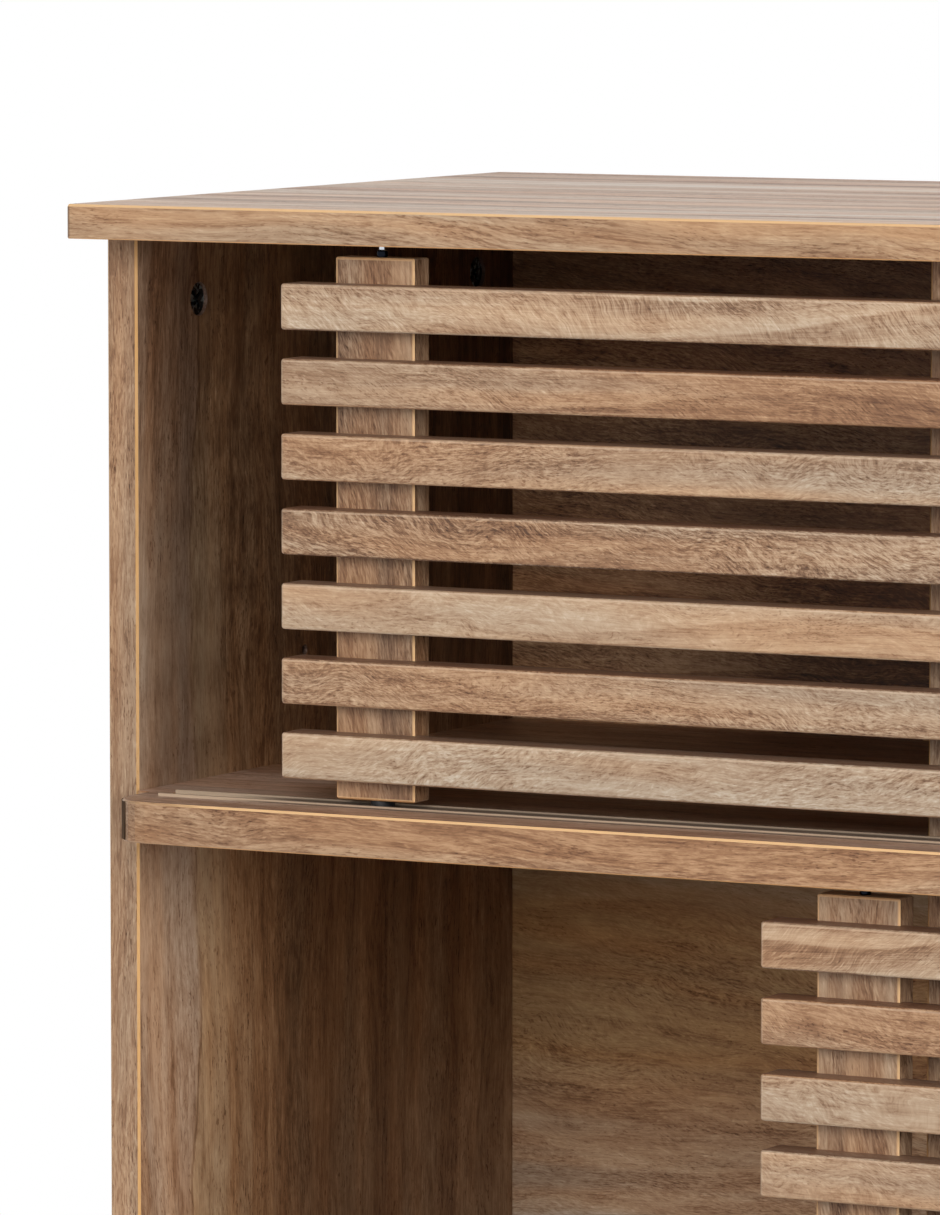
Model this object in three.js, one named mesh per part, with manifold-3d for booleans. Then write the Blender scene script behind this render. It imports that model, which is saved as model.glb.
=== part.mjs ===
// A two-tier credenza on short turned legs. Each tier has one slatted door that slides along a plastic
// track in front of three bays. Lengths are millimetres: +X to the right as seen from the front,
// +Y towards the back, +Z up. The origin is on the floor, under the middle of the whole piece.

import * as THREE from 'three';
import { mergeVertices } from 'three/addons/utils/BufferGeometryUtils.js';
import Module from 'manifold-3d';

const wasm = await Module();
wasm.setup();

// Overall
const overallWidth = 1200;
const overallDepth = 400;
const bayCount = 3;
const compartmentHeight = 243;

// Boards
const topThickness = 15;
const sideThickness = 15;
const dividerThickness = 15;
const shelfThickness = 18;
const bottomThickness = 18;
const backThickness = 3;
const arris = 1;
const underArris = 0.5;
const endArris = 0.4;
const cutOverrun = 2;

// How far the boards stand in front of the side panels' front edges
const noseOverhang = 38;
const topOverhang = 35;

// How far the top board's ends stop short of the side panels' outer faces
const topEndInset = 1;

// The middle shelf's nose, in front of the side panels
const noseEndGap = 5.5;
const noseCornerRadius = 20;
const noseCornerSteps = 6;
const noseTenon = 12;

// The back panel, held in a groove all round
const backInset = 11;
const backGrooveDepth = 5.5;

// Clearance round a piece that is let into another
const seat = 0.25;

// Lower tracks: U channels let into the shelf and the bottom board
const trackSetback = 33;
const trackEndInset = 18;
const trackWidth = 17;
const trackWall = 2;
const trackFloor = 1.5;
const trackLip = 1.25;
const trackSink = 6.5;

// Upper guides: slotted channels let flush into the underside of the top and the shelf
const guideWidth = 9;
const guideSlot = 5;
const guideRoof = 1.5;
const guideHeight = 6;

// Doors
const slatCount = 7;
const slatHeight = 20;
const slatThickness = 18;
const slatNotch = 5;
const slatRound = 1.5;
const slatRoundSteps = 3;
const slatEndRound = 1.4;
const slatEndSteps = 3;
const slatEndOverhang = 20;
const stileWidth = 38.5;
const stileDepth = 13.5;
const stileArris = 0.6;
const stileAboveSlats = 11.25;
const stileBelowSlats = 9;
const doorHeadGap = 6;
const doorFloorGap = 3.5;
const doorBackGap = 2.25;
const upperDoorOffset = 101;
const lowerDoorOffset = 331.5;

// Top pins, spring-loaded, one in the head of each stile
const pinTipRadius = 1.5;
const pinCollarRadius = 2.5;
const pinCollarHeight = 2.5;
const pinShankRadius = 2;
const pinShankLength = 16;
const pinReach = 3.5;

// Bottom glides, one in the foot of each stile
const glideRadius = 5.25;
const glideTipRadius = 4;
const glideRound = 1.5;
const glideStemRadius = 3;
const glideStemLength = 14;

// Cam locks and their bolts
const camRadius = 7.25;
const camSkin = 2.25;
const camRecess = 1.75;
const camDrop = 30;
const camFromFront = 54;
const camFromBack = 35;
const camCrossLength = 9.5;
const camCrossWidth = 1.75;
const camCrossDepth = 2;
const camCrossTurn = Math.PI / 5;
const boltShankRadius = 3;
const boltBoreRadius = 4;
const boltThreadRadius = 2.5;
const boltThreadLength = 9;
const boltNeckRadius = 1.75;
const boltNeckLength = 4;
const boltHeadRadius = 3.25;
const boltHeadLength = 2.5;

// Pin hole in each side panel
const pinHoleRadius = 2.5;
const pinHoleDepth = 9;
const pinHoleFromFront = 148;
const pinHoleAboveShelf = 49.5;

// Legs and their foot pads
const legHeight = 160;
const legTopRadius = 22;
const legFootRadius = 13;
const legCollarHeight = 12;
const legCollarStep = 2;
const legFootRound = 1.5;
const legFromEnd = 70;
const legFromFront = 74;
const legFromBack = 50;
const padHeight = 3;
const padRadius = 11;
const padRound = 1;

// Sides of the round pieces
const boreSides = 24;
const smallSides = 12;
const legSides = 20;

// Heights
const bottomUnderside = padHeight + legHeight;
const bottomTop = bottomUnderside + bottomThickness;
const shelfUnderside = bottomTop + compartmentHeight;
const shelfTop = shelfUnderside + shelfThickness;
const topUnderside = shelfTop + compartmentHeight;

// Depths
const noseFront = -overallDepth / 2;
const rear = overallDepth / 2;
const sideFront = noseFront + noseOverhang;
const topFront = sideFront - topOverhang;
const backFace = rear - backInset - backThickness;
const trackY = noseFront + trackSetback;
const stileFront = trackY - stileDepth / 2;
const slatFront = stileFront + slatNotch - slatThickness;
const dividerFront = trackY + Math.max(stileDepth / 2 + doorBackGap, trackWidth / 2 + 2 * seat);
const dividerBack = backFace - seat;

// Widths
const sideInner = overallWidth / 2 - sideThickness;
const bayWidth = (2 * sideInner - (bayCount - 1) * dividerThickness) / bayCount;
const trackLength = 2 * (sideInner - trackEndInset);
const doorWidth = overallWidth / bayCount;
const stileInset = slatEndOverhang + stileWidth / 2;

// Door heights
const stileHeight = compartmentHeight - doorHeadGap - doorFloorGap;
const slatPitch = (stileHeight - stileAboveSlats - stileBelowSlats - slatHeight) / (slatCount - 1);

const finish = (color, roughness, metalness = 0) =>
  new THREE.MeshStandardMaterial({ color, roughness, metalness });
const boardWood = finish(0xa9805c, 0.6);
const innerWood = finish(0x7a5a3f, 0.65);
const slatWood = finish(0xc3a382, 0.6);
const legWood = finish(0xa27a55, 0.55);
const trackPlastic = finish(0xb7a78f, 0.45);
const blackPlastic = finish(0x161718, 0.5);
const chrome = finish(0xc9cccf, 0.18, 1);
const zinc = finish(0x4a4e52, 0.4, 0.9);

// Turns a geometry's axes: its own x, y and z become the given directions.
function turned(geometry, x, y, z) {
  const basis = new THREE.Matrix4().makeBasis(x, y, z);
  return geometry.applyMatrix4(basis);
}

const X = new THREE.Vector3(1, 0, 0);
const Y = new THREE.Vector3(0, 1, 0);
const Z = new THREE.Vector3(0, 0, 1);

// An upright prism over an outline in x and y, from z = 0, with its end edges eased by bevel.
function prism(points, height, bevel = 0, steps = 1) {
  const geometry = new THREE.ExtrudeGeometry(new THREE.Shape(points), {
    depth: height - 2 * bevel,
    bevelEnabled: bevel > 0,
    bevelThickness: bevel,
    bevelSize: bevel,
    bevelOffset: -bevel,
    bevelSegments: steps,
  });
  return geometry.translate(0, 0, bevel);
}

// The same prism lying along X: the outline is in y and z, and it runs from x = 0.
const beam = (points, length, bevel = 0, steps = 1) => turned(prism(points, length, bevel, steps), Y, Z, X);

// A round piece about Z from a profile of [radius, height] pairs.
function round(profile, sides) {
  const points = profile.map(([radius, height]) => new THREE.Vector2(radius, height));
  return turned(new THREE.LatheGeometry(points, sides), X, Z, Y.clone().negate());
}

// A cylinder centred on the origin, along Z or along X.
const rodZ = (radius, length, sides) => turned(
  new THREE.CylinderGeometry(radius, radius, length, sides), X, Z, Y.clone().negate());
const rodX = (radius, length, sides) => turned(
  new THREE.CylinderGeometry(radius, radius, length, sides), Y, X, Z.clone().negate());

const block = (x0, x1, y0, y1, z0, z1) => new THREE.BoxGeometry(x1 - x0, y1 - y0, z1 - z0)
  .translate((x0 + x1) / 2, (y0 + y1) / 2, (z0 + z1) / 2);

// A rectangle's outline with chamfered corners, which may be larger along its upper edge.
function chamferedRectangle(x0, x1, y0, y1, lower, upper = lower) {
  return [[x0 + lower, y0], [x1 - lower, y0], [x1, y0 + lower], [x1, y1 - upper],
    [x1 - upper, y1], [x0 + upper, y1], [x0, y1 - upper], [x0, y0 + lower]]
    .map(([x, y]) => new THREE.Vector2(x, y));
}

// A rectangle's outline with chamfers at its front corners alone.
function frontChamferedRectangle(x0, x1, y0, y1, cut) {
  return [[x0 + cut, y0], [x1 - cut, y0], [x1, y0 + cut], [x1, y1], [x0, y1], [x0, y0 + cut]]
    .map(([x, y]) => new THREE.Vector2(x, y));
}

// A rectangle's outline, centred on the origin, with rounded corners.
function roundedRectangle(width, height, radius, steps) {
  const points = [];
  const corners = [[1, -1], [1, 1], [-1, 1], [-1, -1]];
  corners.forEach(([sx, sy], corner) => {
    for (let step = 0; step <= steps; step += 1) {
      const angle = (corner - 1 + step / steps) * Math.PI / 2;
      points.push(new THREE.Vector2(
        sx * (width / 2 - radius) + radius * Math.cos(angle),
        sy * (height / 2 - radius) + radius * Math.sin(angle)));
    }
  });
  return points;
}

function toSolid(geometry) {
  const bare = geometry.clone();
  bare.deleteAttribute('normal');
  bare.deleteAttribute('uv');
  const merged = mergeVertices(bare);
  return new wasm.Manifold(new wasm.Mesh({
    numProp: 3,
    vertProperties: new Float32Array(merged.attributes.position.array),
    triVerts: new Uint32Array(merged.index.array),
  }));
}

function toGeometry(solid) {
  const mesh = solid.getMesh();
  const geometry = new THREE.BufferGeometry();
  geometry.setAttribute('position', new THREE.BufferAttribute(mesh.vertProperties, 3));
  geometry.setIndex(new THREE.BufferAttribute(mesh.triVerts, 1));
  geometry.computeVertexNormals();
  return geometry;
}

// A geometry with others cut out of it.
function cut(geometry, ...tools) {
  let solid = toSolid(geometry);
  for (const tool of tools) {
    solid = solid.subtract(toSolid(tool));
  }
  return toGeometry(solid);
}

const credenza = new THREE.Group();

function piece(name, geometry, material, parent = credenza) {
  const mesh = new THREE.Mesh(geometry, material);
  mesh.name = name;
  parent.add(mesh);
  return mesh;
}

// Grooves

// The groove that holds a track, in a board whose top face is at surface.
function trackGroove(surface) {
  const half = trackLength / 2 + seat;
  const reach = trackWidth / 2 + seat;
  return block(-half, half, trackY - reach, trackY + reach, surface - trackSink - seat, surface + cutOverrun);
}

// The groove that holds a guide, in a board whose underside is at surface.
function guideGroove(surface) {
  const half = trackLength / 2 + seat;
  const reach = guideWidth / 2 + seat;
  return block(-half, half, trackY - reach, trackY + reach, surface - cutOverrun, surface + guideHeight + seat);
}

// The slot all round the inside of the carcass that holds the back panel.
const backSlot = block(
  -sideInner - backGrooveDepth, sideInner + backGrooveDepth,
  backFace - seat, backFace + backThickness + seat,
  bottomTop - backGrooveDepth, topUnderside + backGrooveDepth);

// Boards

const camYs = { front: sideFront + camFromFront, rear: backFace - camFromBack };
const camZ = topUnderside - camDrop;
const boltX = overallWidth / 2 - sideThickness / 2;

// The hole in the top board's underside for one bolt's thread.
const threadHole = (x, y) => rodZ(boltThreadRadius + seat, 2 * (boltThreadLength + seat), smallSides)
  .translate(x, y, topUnderside);

// A board lying along X on z = 0. Its long edges are eased, the upper ones more, and its ends are nearly sharp.
function lyingBoard(front, thickness, length) {
  const outline = chamferedRectangle(front, rear, 0, thickness, underArris, arris);
  return beam(outline, length, endArris).translate(-length / 2, 0, 0);
}

function topPanel() {
  const board = lyingBoard(topFront, topThickness, overallWidth - 2 * topEndInset);
  const holes = [-boltX, boltX].flatMap((x) => Object.values(camYs).map((y) => threadHole(x, y)));
  return cut(board.translate(0, 0, topUnderside), guideGroove(topUnderside), backSlot, ...holes);
}

function bottomPanel() {
  const board = lyingBoard(noseFront, bottomThickness, overallWidth);
  return cut(board.translate(0, 0, bottomUnderside), trackGroove(bottomTop), backSlot);
}

// The shelf fills the carcass behind the side panels' front edges. Its nose stands in front of them,
// a little narrower, with rounded corners and an eased edge.
function middleShelf() {
  const noseHalf = sideInner - noseEndGap;
  const centreX = noseHalf - noseCornerRadius;
  const centreY = noseFront + noseCornerRadius;
  const outline = [];
  for (let step = 0; step <= noseCornerSteps; step += 1) {
    const angle = (1 + step / (2 * noseCornerSteps)) * Math.PI;
    outline.push(new THREE.Vector2(
      -centreX + noseCornerRadius * Math.cos(angle), centreY + noseCornerRadius * Math.sin(angle)));
  }
  outline.push(...outline.map((point) => new THREE.Vector2(-point.x, point.y)).reverse());
  const tenonEnd = sideFront + noseTenon;
  outline.push(new THREE.Vector2(noseHalf, tenonEnd), new THREE.Vector2(-noseHalf, tenonEnd));
  const upperEase = prism(outline, 2 * shelfThickness, arris).translate(0, 0, shelfTop - 2 * shelfThickness);
  const lowerEase = prism(outline, 2 * shelfThickness, underArris).translate(0, 0, shelfUnderside);
  const nose = toSolid(upperEase).intersect(toSolid(lowerEase));
  const body = block(-sideInner, sideInner, sideFront, dividerBack, shelfUnderside, shelfTop);
  const joined = toSolid(body).add(nose);
  return cut(toGeometry(joined), trackGroove(shelfTop), guideGroove(shelfUnderside));
}

// The bore for a cam, from the face at x that looks in the direction facing, and the cam's place.
function camBore(x, facing, y, thickness) {
  const depth = thickness - camSkin;
  return rodX(camRadius + seat, depth + cutOverrun, boreSides)
    .translate(x + facing * (cutOverrun - depth) / 2, y, camZ);
}

// A side panel: hand is -1 for the left one and 1 for the right one.
function sidePanel(hand) {
  const inner = hand * sideInner;
  const outer = hand * overallWidth / 2;
  const board = prism(
    frontChamferedRectangle(Math.min(inner, outer), Math.max(inner, outer), sideFront, rear, arris),
    topUnderside - bottomTop);
  const ys = Object.values(camYs);
  const cams = ys.map((y) => camBore(inner, -hand, y, sideThickness));
  const bolts = ys.map((y) => rodZ(boltBoreRadius, camDrop + cutOverrun, smallSides)
    .translate(hand * boltX, y, topUnderside - (camDrop - cutOverrun) / 2));
  const pinHole = rodX(pinHoleRadius, pinHoleDepth + cutOverrun, smallSides).translate(
    inner + hand * (pinHoleDepth - cutOverrun) / 2, sideFront + pinHoleFromFront, shelfTop + pinHoleAboveShelf);
  return cut(board.translate(0, 0, bottomTop), backSlot, ...cams, ...bolts, pinHole);
}

// A divider at a left face x, standing on the surface at z.
function divider(x, z, cuts) {
  const board = prism(
    frontChamferedRectangle(x, x + dividerThickness, dividerFront, dividerBack, arris), compartmentHeight);
  return cut(board.translate(0, 0, z), ...cuts);
}

piece('top_panel', topPanel(), boardWood);
piece('bottom_panel', bottomPanel(), boardWood);
piece('middle_shelf', middleShelf(), boardWood);
piece('left_side_panel', sidePanel(-1), innerWood);
piece('right_side_panel', sidePanel(1), innerWood);

const dividerNames = ['left', 'right'];
const dividerXs = [];
for (let index = 1; index < bayCount; index += 1) {
  const name = dividerNames[index - 1] ?? `number_${index}`;
  const x = -sideInner + index * bayWidth + (index - 1) * dividerThickness;
  const camFace = x + dividerThickness;
  const bores = Object.values(camYs).map((y) => camBore(camFace, 1, y, dividerThickness));
  dividerXs.push({ name, camFace });
  piece(`upper_${name}_divider`, divider(x, shelfTop, bores), innerWood);
  piece(`lower_${name}_divider`, divider(x, bottomTop, []), innerWood);
}

piece('back_panel', block(
  -sideInner - backGrooveDepth + seat, sideInner + backGrooveDepth - seat,
  backFace, backFace + backThickness,
  bottomTop - backGrooveDepth + seat, topUnderside + backGrooveDepth - seat), innerWood);

// Tracks and guides

const trackOutline = () => {
  const half = trackWidth / 2;
  const inner = half - trackWall;
  return [[-half, -trackSink], [half, -trackSink], [half, trackLip], [inner, trackLip],
    [inner, trackFloor - trackSink], [-inner, trackFloor - trackSink], [-inner, trackLip], [-half, trackLip]]
    .map(([y, z]) => new THREE.Vector2(y, z));
};

const guideOutline = () => {
  const half = guideWidth / 2;
  const slot = guideSlot / 2;
  return [[-half, 0], [-slot, 0], [-slot, guideHeight - guideRoof], [slot, guideHeight - guideRoof],
    [slot, 0], [half, 0], [half, guideHeight], [-half, guideHeight]].map(([y, z]) => new THREE.Vector2(y, z));
};

const tiers = [['upper', shelfTop, topUnderside], ['lower', bottomTop, shelfUnderside]];
for (const [tier, floor, ceiling] of tiers) {
  piece(`${tier}_track`, beam(trackOutline(), trackLength), trackPlastic)
    .position.set(-trackLength / 2, trackY, floor);
  piece(`${tier}_guide`, beam(guideOutline(), trackLength), trackPlastic)
    .position.set(-trackLength / 2, trackY, ceiling);
}

// Cam locks and bolts

// A cam lies along X with its slotted face at x = 0, looking towards +X.
function cam(thickness) {
  const length = thickness - camSkin - camRecess - seat;
  const drum = rodX(camRadius, length, boreSides).translate(-length / 2, 0, 0);
  const bar = (turn) => new THREE.BoxGeometry(2 * camCrossDepth, camCrossLength, camCrossWidth).rotateX(turn);
  const boltPocket = rodZ(boltHeadRadius + seat, 2 * camRadius, smallSides)
    .translate(thickness / 2 - camSkin - seat - length, 0, camRadius);
  return cut(drum, bar(camCrossTurn), bar(camCrossTurn + Math.PI / 2), boltPocket);
}

// A bolt hangs from the top board's underside at z = 0: its thread is above and its head is below, in the cam.
function bolt() {
  const headBottom = -camDrop + seat;
  const neckBottom = headBottom + boltHeadLength;
  const shankBottom = neckBottom + boltNeckLength;
  return round([
    [0, headBottom], [boltHeadRadius, headBottom], [boltHeadRadius, neckBottom], [boltNeckRadius, neckBottom],
    [boltNeckRadius, shankBottom], [boltShankRadius, shankBottom], [boltShankRadius, -seat],
    [boltThreadRadius, -seat], [boltThreadRadius, boltThreadLength], [0, boltThreadLength],
  ], smallSides);
}

for (const [end, y] of Object.entries(camYs)) {
  for (const [side, hand] of [['left', -1], ['right', 1]]) {
    const lock = piece(`${side}_side_${end}_cam`, cam(sideThickness), zinc);
    lock.position.set(hand * (sideInner + camRecess), y, camZ);
    lock.rotation.z = hand > 0 ? Math.PI : 0;
    piece(`${side}_side_${end}_bolt`, bolt(), zinc).position.set(hand * boltX, y, topUnderside);
  }
  for (const { name, camFace } of dividerXs) {
    piece(`${name}_divider_${end}_cam`, cam(dividerThickness), zinc).position.set(camFace - camRecess, y, camZ);
  }
}

// Doors

// A slat is centred on its own axis. Its back is notched over the two stiles.
function slat() {
  const outline = roundedRectangle(slatThickness, slatHeight, slatRound, slatRoundSteps);
  const bar = beam(outline, doorWidth, slatEndRound, slatEndSteps);
  const reach = stileWidth / 2 + seat;
  const notches = [stileInset, doorWidth - stileInset].map((x) => block(
    x - reach, x + reach, slatThickness / 2 - slatNotch, slatThickness / 2 + cutOverrun,
    -slatHeight / 2 - cutOverrun, slatHeight / 2 + cutOverrun));
  return cut(bar, ...notches);
}

// A stile stands on z = 0, centred on its own axis, with a blind hole at its head and one at its foot.
function stile() {
  const post = prism(
    chamferedRectangle(-stileWidth / 2, stileWidth / 2, -stileDepth / 2, stileDepth / 2, stileArris),
    stileHeight, stileArris);
  const headHole = rodZ(pinShankRadius + seat, 2 * (pinShankLength + seat), smallSides)
    .translate(0, 0, stileHeight);
  const footHole = rodZ(glideStemRadius + seat, 2 * (glideStemLength + seat), smallSides);
  return cut(post, headHole, footHole);
}

// A pin's collar sits on its stile's head at z = 0. Its tip runs in the guide.
function topPin() {
  const tipTop = doorHeadGap + pinReach;
  return round([
    [0, -pinShankLength], [pinShankRadius, -pinShankLength], [pinShankRadius, seat], [pinCollarRadius, seat],
    [pinCollarRadius, pinCollarHeight], [pinTipRadius, pinCollarHeight + pinTipRadius / 2],
    [pinTipRadius, tipTop - pinTipRadius / 2], [pinTipRadius / 2, tipTop], [0, tipTop],
  ], smallSides);
}

// A glide's shoulder is under its stile's foot at z = 0. Its end runs in the track.
function bottomGlide() {
  const runnerBottom = -doorFloorGap - trackSink + trackFloor + seat;
  const taperTop = -doorFloorGap;
  return round([
    [0, runnerBottom], [glideTipRadius - glideRound / 2, runnerBottom],
    [glideTipRadius, runnerBottom + glideRound / 2], [glideTipRadius, taperTop - glideRound],
    [glideRadius, taperTop], [glideRadius, -seat], [glideStemRadius, -seat],
    [glideStemRadius, glideStemLength], [0, glideStemLength],
  ], smallSides);
}

// A door's group stands at its left end on the surface that its track is in.
function door(tier, offset, floor) {
  const group = new THREE.Group();
  group.position.set(-overallWidth / 2 + offset, 0, floor + doorFloorGap);
  credenza.add(group);
  for (let index = 0; index < slatCount; index += 1) {
    const height = stileHeight - stileAboveSlats - slatHeight / 2 - index * slatPitch;
    piece(`${tier}_door_slat_${index + 1}`, slat(), slatWood, group)
      .position.set(0, slatFront + slatThickness / 2, height);
  }
  for (const [side, x] of [['left', stileInset], ['right', doorWidth - stileInset]]) {
    piece(`${tier}_door_${side}_stile`, stile(), slatWood, group).position.set(x, trackY, 0);
    piece(`${tier}_door_${side}_pin`, topPin(), chrome, group).position.set(x, trackY, stileHeight);
    piece(`${tier}_door_${side}_glide`, bottomGlide(), blackPlastic, group).position.set(x, trackY, 0);
  }
}

door('upper', upperDoorOffset, shelfTop);
door('lower', lowerDoorOffset, bottomTop);

// Legs

// A leg stands on z = 0: a straight taper with an eased foot, and a collar under the bottom board.
const leg = () => round([
  [0, 0], [legFootRadius - legFootRound, 0], [legFootRadius, legFootRound],
  [legTopRadius - legCollarStep, legHeight - legCollarHeight], [legTopRadius, legHeight - legCollarHeight],
  [legTopRadius, legHeight], [0, legHeight],
], legSides);

const pad = () => round([
  [0, 0], [padRadius - padRound, 0], [padRadius, padRound], [padRadius, padHeight], [0, padHeight],
], legSides);

for (const [side, hand] of [['left', -1], ['right', 1]]) {
  for (const [end, y] of [['front', noseFront + legFromFront], ['rear', rear - legFromBack]]) {
    const x = hand * (overallWidth / 2 - legFromEnd);
    piece(`${end}_${side}_leg`, leg(), legWood).position.set(x, y, padHeight);
    piece(`${end}_${side}_foot_pad`, pad(), blackPlastic).position.set(x, y, 0);
  }
}

export default credenza;
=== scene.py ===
import math

import bmesh
import bpy
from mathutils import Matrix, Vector


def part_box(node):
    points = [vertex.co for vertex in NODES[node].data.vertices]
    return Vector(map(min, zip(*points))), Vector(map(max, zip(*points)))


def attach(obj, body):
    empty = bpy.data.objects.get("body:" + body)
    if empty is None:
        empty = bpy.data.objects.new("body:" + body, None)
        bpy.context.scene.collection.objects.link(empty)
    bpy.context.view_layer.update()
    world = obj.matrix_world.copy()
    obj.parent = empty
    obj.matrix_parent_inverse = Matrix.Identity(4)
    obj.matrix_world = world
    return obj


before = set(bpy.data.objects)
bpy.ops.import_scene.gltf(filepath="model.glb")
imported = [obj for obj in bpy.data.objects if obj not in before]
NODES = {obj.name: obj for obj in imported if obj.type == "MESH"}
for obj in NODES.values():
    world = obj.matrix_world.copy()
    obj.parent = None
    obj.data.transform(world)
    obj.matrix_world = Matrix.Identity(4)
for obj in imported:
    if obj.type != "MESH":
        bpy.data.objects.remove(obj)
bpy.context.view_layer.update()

MM = 0.001
X, Y, Z = 0, 1, 2


def srgb(red, green, blue):
    """A colour as it shows on screen, 0 to 255, in the linear values that a shader takes."""
    def linear(value):
        value = value / 255
        return value / 12.92 if value <= 0.04045 else ((value + 0.055) / 1.055) ** 2.4
    return (linear(red), linear(green), linear(blue), 1.0)


# A face whose unit normal has more than FLAT along an axis faces that way, a board's edge from EDGE_FLAT.
FLAT = 0.8
EDGE_FLAT = 0.6
# Ranges of a normal's part along an axis: square to it, and turned enough towards it for an arris.
SQUARE = (0.90, 0.97)
ARRIS = (0.30, 0.45)
WHITE = (1.0, 1.0, 1.0, 1.0)

# Wood from its darkest tone, 0, to its palest, 1.
WALNUT = (
    (0.00, srgb(52, 32, 19)),
    (0.22, srgb(104, 72, 49)),
    (0.40, srgb(147, 113, 85)),
    (0.55, srgb(177, 146, 117)),
    (0.72, srgb(195, 168, 140)),
    (1.00, srgb(219, 200, 176)),
)
COOL_TO_WARM = (
    (0.0, (0.93, 1.00, 1.08, 1.0)),
    (0.5, WHITE),
    (1.0, (1.08, 0.97, 0.86, 1.0)),
)
# A plain board's tone, how its hue drifts with its tone, its cut ends, its gloss and its relief.
MEDIUM_TONE = 0.53
HUE_DRIFT = 2.5
END_GRAIN = srgb(112, 79, 54)
END_GRAIN_SHARE = 0.6
PORE_ROUGHNESS = 0.18
TONE_ROUGHNESS = -0.12
GRAIN_RELIEF = 0.12 * MM

# Rubbed arrises: their colours, and how much of the board's figure shows on them.
GOLDEN = srgb(214, 170, 128)
PALE_GOLDEN = srgb(252, 206, 150)
DULL_GOLDEN = srgb(214, 164, 102)
# On an arris that faces down the golden is deeper: painted shade.
UNDERSIDE_SHADE_FACING = (-0.5, -0.2, 1.0, 0.0)
UNDERSIDE_SHADE_HUE = (0.72, 0.60, 0.50, 1.0)
FIGURE_ON_RUB = 0.5
MEAN_FIGURE_ON_RUB = 0.15
RUB_FADE = 30.0 * MM
RUB_LEFT = 0.25

# Each layer of the figure: its marks per metre along and across the grain, its detail and its roughness.
MARKS = {
    "wander": (2.3, 6.0, 1.0, 0.5),
    "waver": (9.0, 24.0, 1.0, 0.5),
    "bands": (1.7, 42.0, 2.0, 0.55),
    "streaks": (7.0, 260.0, 3.0, 0.6),
    "fibres": (60.0, 1500.0, 2.0, 0.7),
    "mottle": (60.0, 150.0, 3.0, 0.65),
    "swing": (2.6, 9.0, 1.0, 0.5),
    "curls": (22.0, 34.0, 1.0, 0.5),
    "ripples": (120.0, 170.0, 1.0, 0.5),
    "strokes": (250.0, 960.0, 3.0, 0.72),
    "patches": (10.0, 34.0, 1.0, 0.5),
    "clouds": (60.0, 210.0, 2.0, 0.6),
    "veins": (26.0, 420.0, 1.0, 0.5),
    "pores": (520.0, 1500.0, 1.0, 0.5),
    "pore_patches": (18.0, 90.0, 1.0, 0.5),
    "flecks": (360.0, 1100.0, 1.0, 0.5),
    "warmth": (3.1, 34.0, 2.0, 0.6),
}
# How noise round zero turns into marks: start, end, and the values held before and after.
STROKE_PATCHES = (-0.14, 0.16, 0.35, 1.0)
PORE_PATCHES = (-0.10, 0.15, 0.30, 1.0)
PORES = (0.08, 0.20)
VEINS = (0.10, 0.24)
FLECKS = (0.08, 0.22)
WARMTH = (-0.20, 0.20)
# How much each layer changes the tone, and the height of the relief.
SHARES = {
    "streaks": 0.34,
    "fibres": 0.42,
    "mottle": 0.22,
    "clouds": 0.34,
    "rings": 0.15,
    "flecks": 0.10,
    "veins": -0.10,
    "pores": -0.22,
}
HEIGHTS = {"fibres": 0.5, "streaks": 0.5, "pores": -1.0}
# How far the grain wanders and curls, and how it leans for each unit of slant.
WANDER, WAVER = 50.0 * MM, 10.0 * MM
CURL, RIPPLE = 27.0 * MM, 2.2 * MM
SLOPE = 0.45
CURL_SHORTENS = (0.0, 1.0, 0.45, 1.0)
RINGS_PER_METRE = 46.0
RING_SWING = 7.0
RING_FALL = (0.0, 0.84, 1.0, 0.0)
RING_START = (0.9, 1.0, 0.0, -1.0)
RING_MIDDLE = 0.55
FIGURE_PARTS = ("Bands", "Rings", "Slant", "Strokes", "Pores", "Curl", "Streaks", "Veins")
EDGE_SEED, END_SEED = 0.37, 0.71
SEED_STEPS = (1.9, 0.83, 0.59)

# Side boards. A row of tones is its start and end in metres, and the change of tone before and after.
# Marks are a sway's waves per metre, along and across.
# On a side board's inner face these tones by height are painted light and shade, and the darker heartwood
# behind is partly grain and partly painted shade.
SAPWOOD_PAINTED_SHADING = ((0.50, 0.68, 0.12, -0.16), (0.24, 0.42, -0.12, 0.0))
HEARTWOOD_PAINTED_SHADING = ((0.44, 0.50, -0.15, -0.27), (0.55, 0.68, 0.0, 0.06), (0.18, 0.40, 0.13, 0.0))
# The front edge's darkening towards the top is a painted shadow of the top's overhang.
SIDE_EDGE_PAINTED_SHADOW = (0.50, 0.62, 0.0, -0.06)
PALE_BAND = ((-0.145, -0.115), (-0.085, -0.050, 0.06, 0.0))
HEARTWOOD_START = (-0.15, -0.02)
HEARTWOOD_SWAY, HEARTWOOD_MARKS = 0.05, (3.0, 6.0)
HEARTWOOD_TURN = (-0.117, -0.110)
RING_DEPTH = -0.113
RING_SWAY, RING_MARKS = 0.035, (7.0, 7.0)
RING_WIDTH = 1.6 * MM
RING_TONE = -0.14
SAPWOOD_HUE = (0.97, 1.0, 1.08, 1.0)
HEARTWOOD_HUE = (1.0, 0.985, 0.90, 1.0)

# Back panel: its tones and hues by height and, just above the shelf, along X.
UPPER_TIER = (0.424, 0.442)
# The upper tier's darker tone is painted shade behind the upper door.
UPPER_TIER_PAINTED_SHADE = -0.32
BACK_PALE_TONE = (0.31, 0.37, 0.0, 0.17)
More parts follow.
